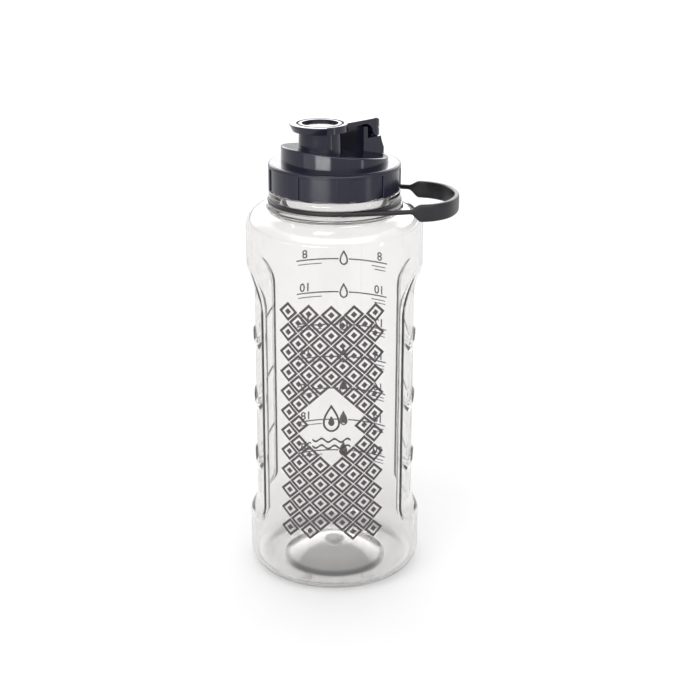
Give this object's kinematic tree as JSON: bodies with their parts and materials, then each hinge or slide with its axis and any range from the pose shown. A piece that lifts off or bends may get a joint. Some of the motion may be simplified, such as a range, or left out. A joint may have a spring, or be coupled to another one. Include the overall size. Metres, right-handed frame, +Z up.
{
  "type": "drinking bottle",
  "caption": "Large clear wide-mouth drinking bottle with finger grips, a ribbed screw cap, a flip lid over a round spout and a rubber carry loop.",
  "frame": {"origin": "on the bottle's axis, in the plane that it stands on", "axes": "+Z up along the bottle's axis, +X towards the strap's loop, -Y out of the printed front"},
  "size_m": [0.1171, 0.098, 0.261],
  "materials": {
    "clear_plastic": "clear, lightly smoked",
    "collar_plastic": "dark slate, satin",
    "cap_plastic": "dark slate, glossy",
    "strap_rubber": "satin rubber",
    "silicone": "soft translucent",
    "pin_steel": "plain"
  },
  "bodies": {
    "bottle": {"bottle_body": "clear_plastic"},
    "gasket": {"rim_gasket": "silicone"},
    "cap": {"screw_collar": "collar_plastic", "spout_deck": "cap_plastic", "hinge_pin": "pin_steel"},
    "lid": {"flip_lid": "cap_plastic", "lid_plug": "silicone"},
    "strap": {"carry_strap": "strap_rubber"}
  },
  "joints": [
    {"name": "cap_lift", "type": "slide", "parent": "bottle", "child": "gasket", "axis": [0, 0, 1], "range_m": [0, 0.005]},
    {"name": "cap_turn", "type": "hinge", "parent": "gasket", "child": "cap", "pos_m": [0, 0, 0.2326], "axis": [0, 0, 1], "range_deg": [0, 450]},
    {"name": "lid_hinge", "type": "hinge", "parent": "cap", "child": "lid", "pos_m": [0.01563, 0.01619, 0.2555], "axis": [-0.7193, 0.6947, 0], "range_deg": [0, 105]},
    {"name": "strap_swivel", "type": "hinge", "parent": "bottle", "child": "strap", "pos_m": [0, 0, 0.2177], "axis": [0, 0, 1], "continuous": true}
  ],
  "couplings": [
    {"joint": "cap_lift", "follows": "cap_turn", "m_per_rad": 0.00063662}
  ]
}
